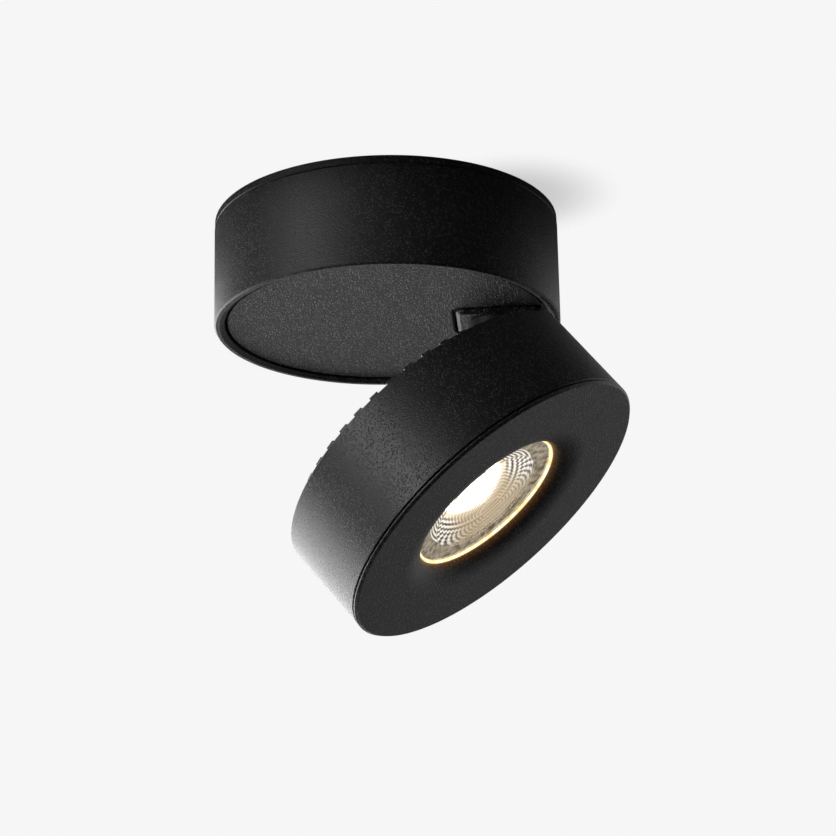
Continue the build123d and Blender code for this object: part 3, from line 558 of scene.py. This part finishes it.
def throat_glow(s):
    """Painted light: amber light that the lens's edge throws on the throat beside it, broken up by the edge's
    teeth.
    """
    height, radius, angle = head_place(s)
    teeth = s.add("TexNoise", {"W": s.math("MULTIPLY", angle, rim_teeth / math.pi), "Detail": 1.0},
                  noise_dimensions="1D").outputs["Fac"]
    height = s.math("ADD", height, s.spread(teeth, -throat_teeth_in, throat_teeth_out))
    near = s.ramp(height, throat_near_depth, 0.0)
    wide = s.ramp(height, throat_glow_depth, throat_full_depth)
    tone = s.mix(near, shade(throat_far_tone), shade(throat_near_tone))
    in_front = s.math("GREATER_THAN", height, -throat_back)
    inside = s.math("MULTIPLY", in_front, s.math("LESS_THAN", radius, throat_reach))
    return s.mix(s.math("MULTIPLY", wide, inside), grey(0.0), tone)


def add_lens_piece(piece, material, sharp_angle, *slots):
    smooth(piece, sharp_angle)
    piece.data.materials.append(material)
    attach(piece, "head")


lens = make_lens()
add_lens_piece(lens, glass(), optic_sharp_angle, "clear_lens")
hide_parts("lens")
add_lens_piece(make_glow(), glow(), glow_sharp_angle, "cob_phosphor")
add_lens_piece(make_rim(), painted_rim_glow(), rim_sharp_angle, "clear_lens")


# ---- finishes on the CAD nodes -------------------------------------------------------------------

def dress(node, material):
    mesh = nodes[node].data
    mesh.materials.clear()
    mesh.materials.append(material)


finishes["mirror_reflector"] = mirror_cup()
finishes["cob_phosphor"] = emitter()
finishes["clear_lens"] = lens.data.materials[0]
# The throat's emission in this paint is painted light: the amber glow from the lens's edge.
finishes["fine_black_paint"] = powder_coat("fine_black_paint", (0.0115, 0.0115, 0.0122), glow=throat_glow,
                                           grain=0.0006, bump=0.0001, roughness=0.48, specks=1.8)
for part in frame["record"]["subparts"]:
    dress(part["node"], finishes[part["material_slot"]])


# ---- stage ---------------------------------------------------------------------------------------

def make_ceiling():
    """The ceiling plane, seen only from below: a soft shadow to the camera, a screen to other rays."""
    half = ceiling_half
    mesh = bpy.data.meshes.new("ceiling")
    corners = [(-half, -half), (-half, half), (half, half), (half, -half)]
    mesh.from_pydata([(x, y, ceiling_gap) for x, y in corners], [], [(0, 1, 2, 3)])
    ceiling = bpy.data.objects.new("ceiling", mesh)
    bpy.context.scene.collection.objects.link(ceiling)
    s = new_material("ceiling")
    seen = s.add("LightPath").outputs["Is Camera Ray"]
    strength = s.ramp(seen, 0.0, 1.0, ceiling_glow_on_object * ceiling_glow, ceiling_glow, smooth=False)
    shine = s.add("Emission", {"Color": grey(1.0), "Strength": strength}).outputs[0]
    matt = s.add("BsdfDiffuse", {"Color": grey(ceiling_matt)}).outputs[0]
    near = s.add("AddShader", {0: shine, 1: matt}).outputs[0]
    far = s.add("BsdfTransparent").outputs[0]
    place = s.place()
    away = s.add("VectorMath", {0: place}, operation="LENGTH").outputs["Value"]
    beside = s.add("VectorMath", {0: place, 1: shadow_side}, operation="DISTANCE").outputs["Value"]
    fade = s.mix(seen, s.ramp(away, screen_clear, screen_end), s.ramp(beside, shadow_clear, shadow_end))
    front = s.add("MixShader", {0: fade, 1: near, 2: far}).outputs[0]
    back = s.add("NewGeometry").outputs["Backfacing"]
    shader = s.add("MixShader", {0: back, 1: front, 2: far}).outputs[0]
    mesh.materials.append(s.finish(shader))


def make_world():
    """A pale backdrop to the camera and through glass; to the object, soft boxes in a dark room."""
    world = bpy.data.worlds.new("world")
    bpy.context.scene.world = world
    s = Shader(world)
    path = s.add("LightPath")
    seen = s.math("MAXIMUM", path.outputs["Is Camera Ray"], path.outputs["Is Transmission Ray"])
    way = s.add("TexCoord").outputs["Generated"]
    light = room_grey
    for azimuth, elevation, brightness, sharpness in soft_boxes.values():
        turn = math.radians(azimuth)
        rise = math.radians(elevation)
        middle = (math.cos(rise) * math.cos(turn), math.cos(rise) * math.sin(turn), math.sin(rise))
        lobe = s.math("POWER", s.math("MAXIMUM", s.dot(way, middle), 0.0), sharpness)
        light = s.math("ADD", s.math("MULTIPLY", lobe, brightness), light)
    boxes = s.add("CombineColor", {0: light, 1: light, 2: light}).outputs[0]
    level = s.mix(seen, boxes, grey(backdrop_grey))
    s.finish(s.add("Background", {"Color": level, "Strength": 1.0}).outputs[0])


def make_camera():
    data = bpy.data.cameras.new("camera")
    data.lens = camera_lens
    data.sensor_width = sensor_width
    data.clip_start = 0.01
    data.clip_end = 10.0
    camera = bpy.data.objects.new("camera", data)
    camera.location = camera_place
    camera.rotation_mode = "QUATERNION"
    look = (camera_aim - camera_place).to_track_quat("-Z", "Y")
    roll = Matrix.Rotation(math.radians(camera_roll), 3, "Z").to_quaternion()
    camera.rotation_quaternion = look @ roll
    bpy.context.scene.collection.objects.link(camera)
    bpy.context.scene.camera = camera


make_camera()
make_ceiling()
make_world()
bpy.context.scene.view_settings.view_transform = "Standard"
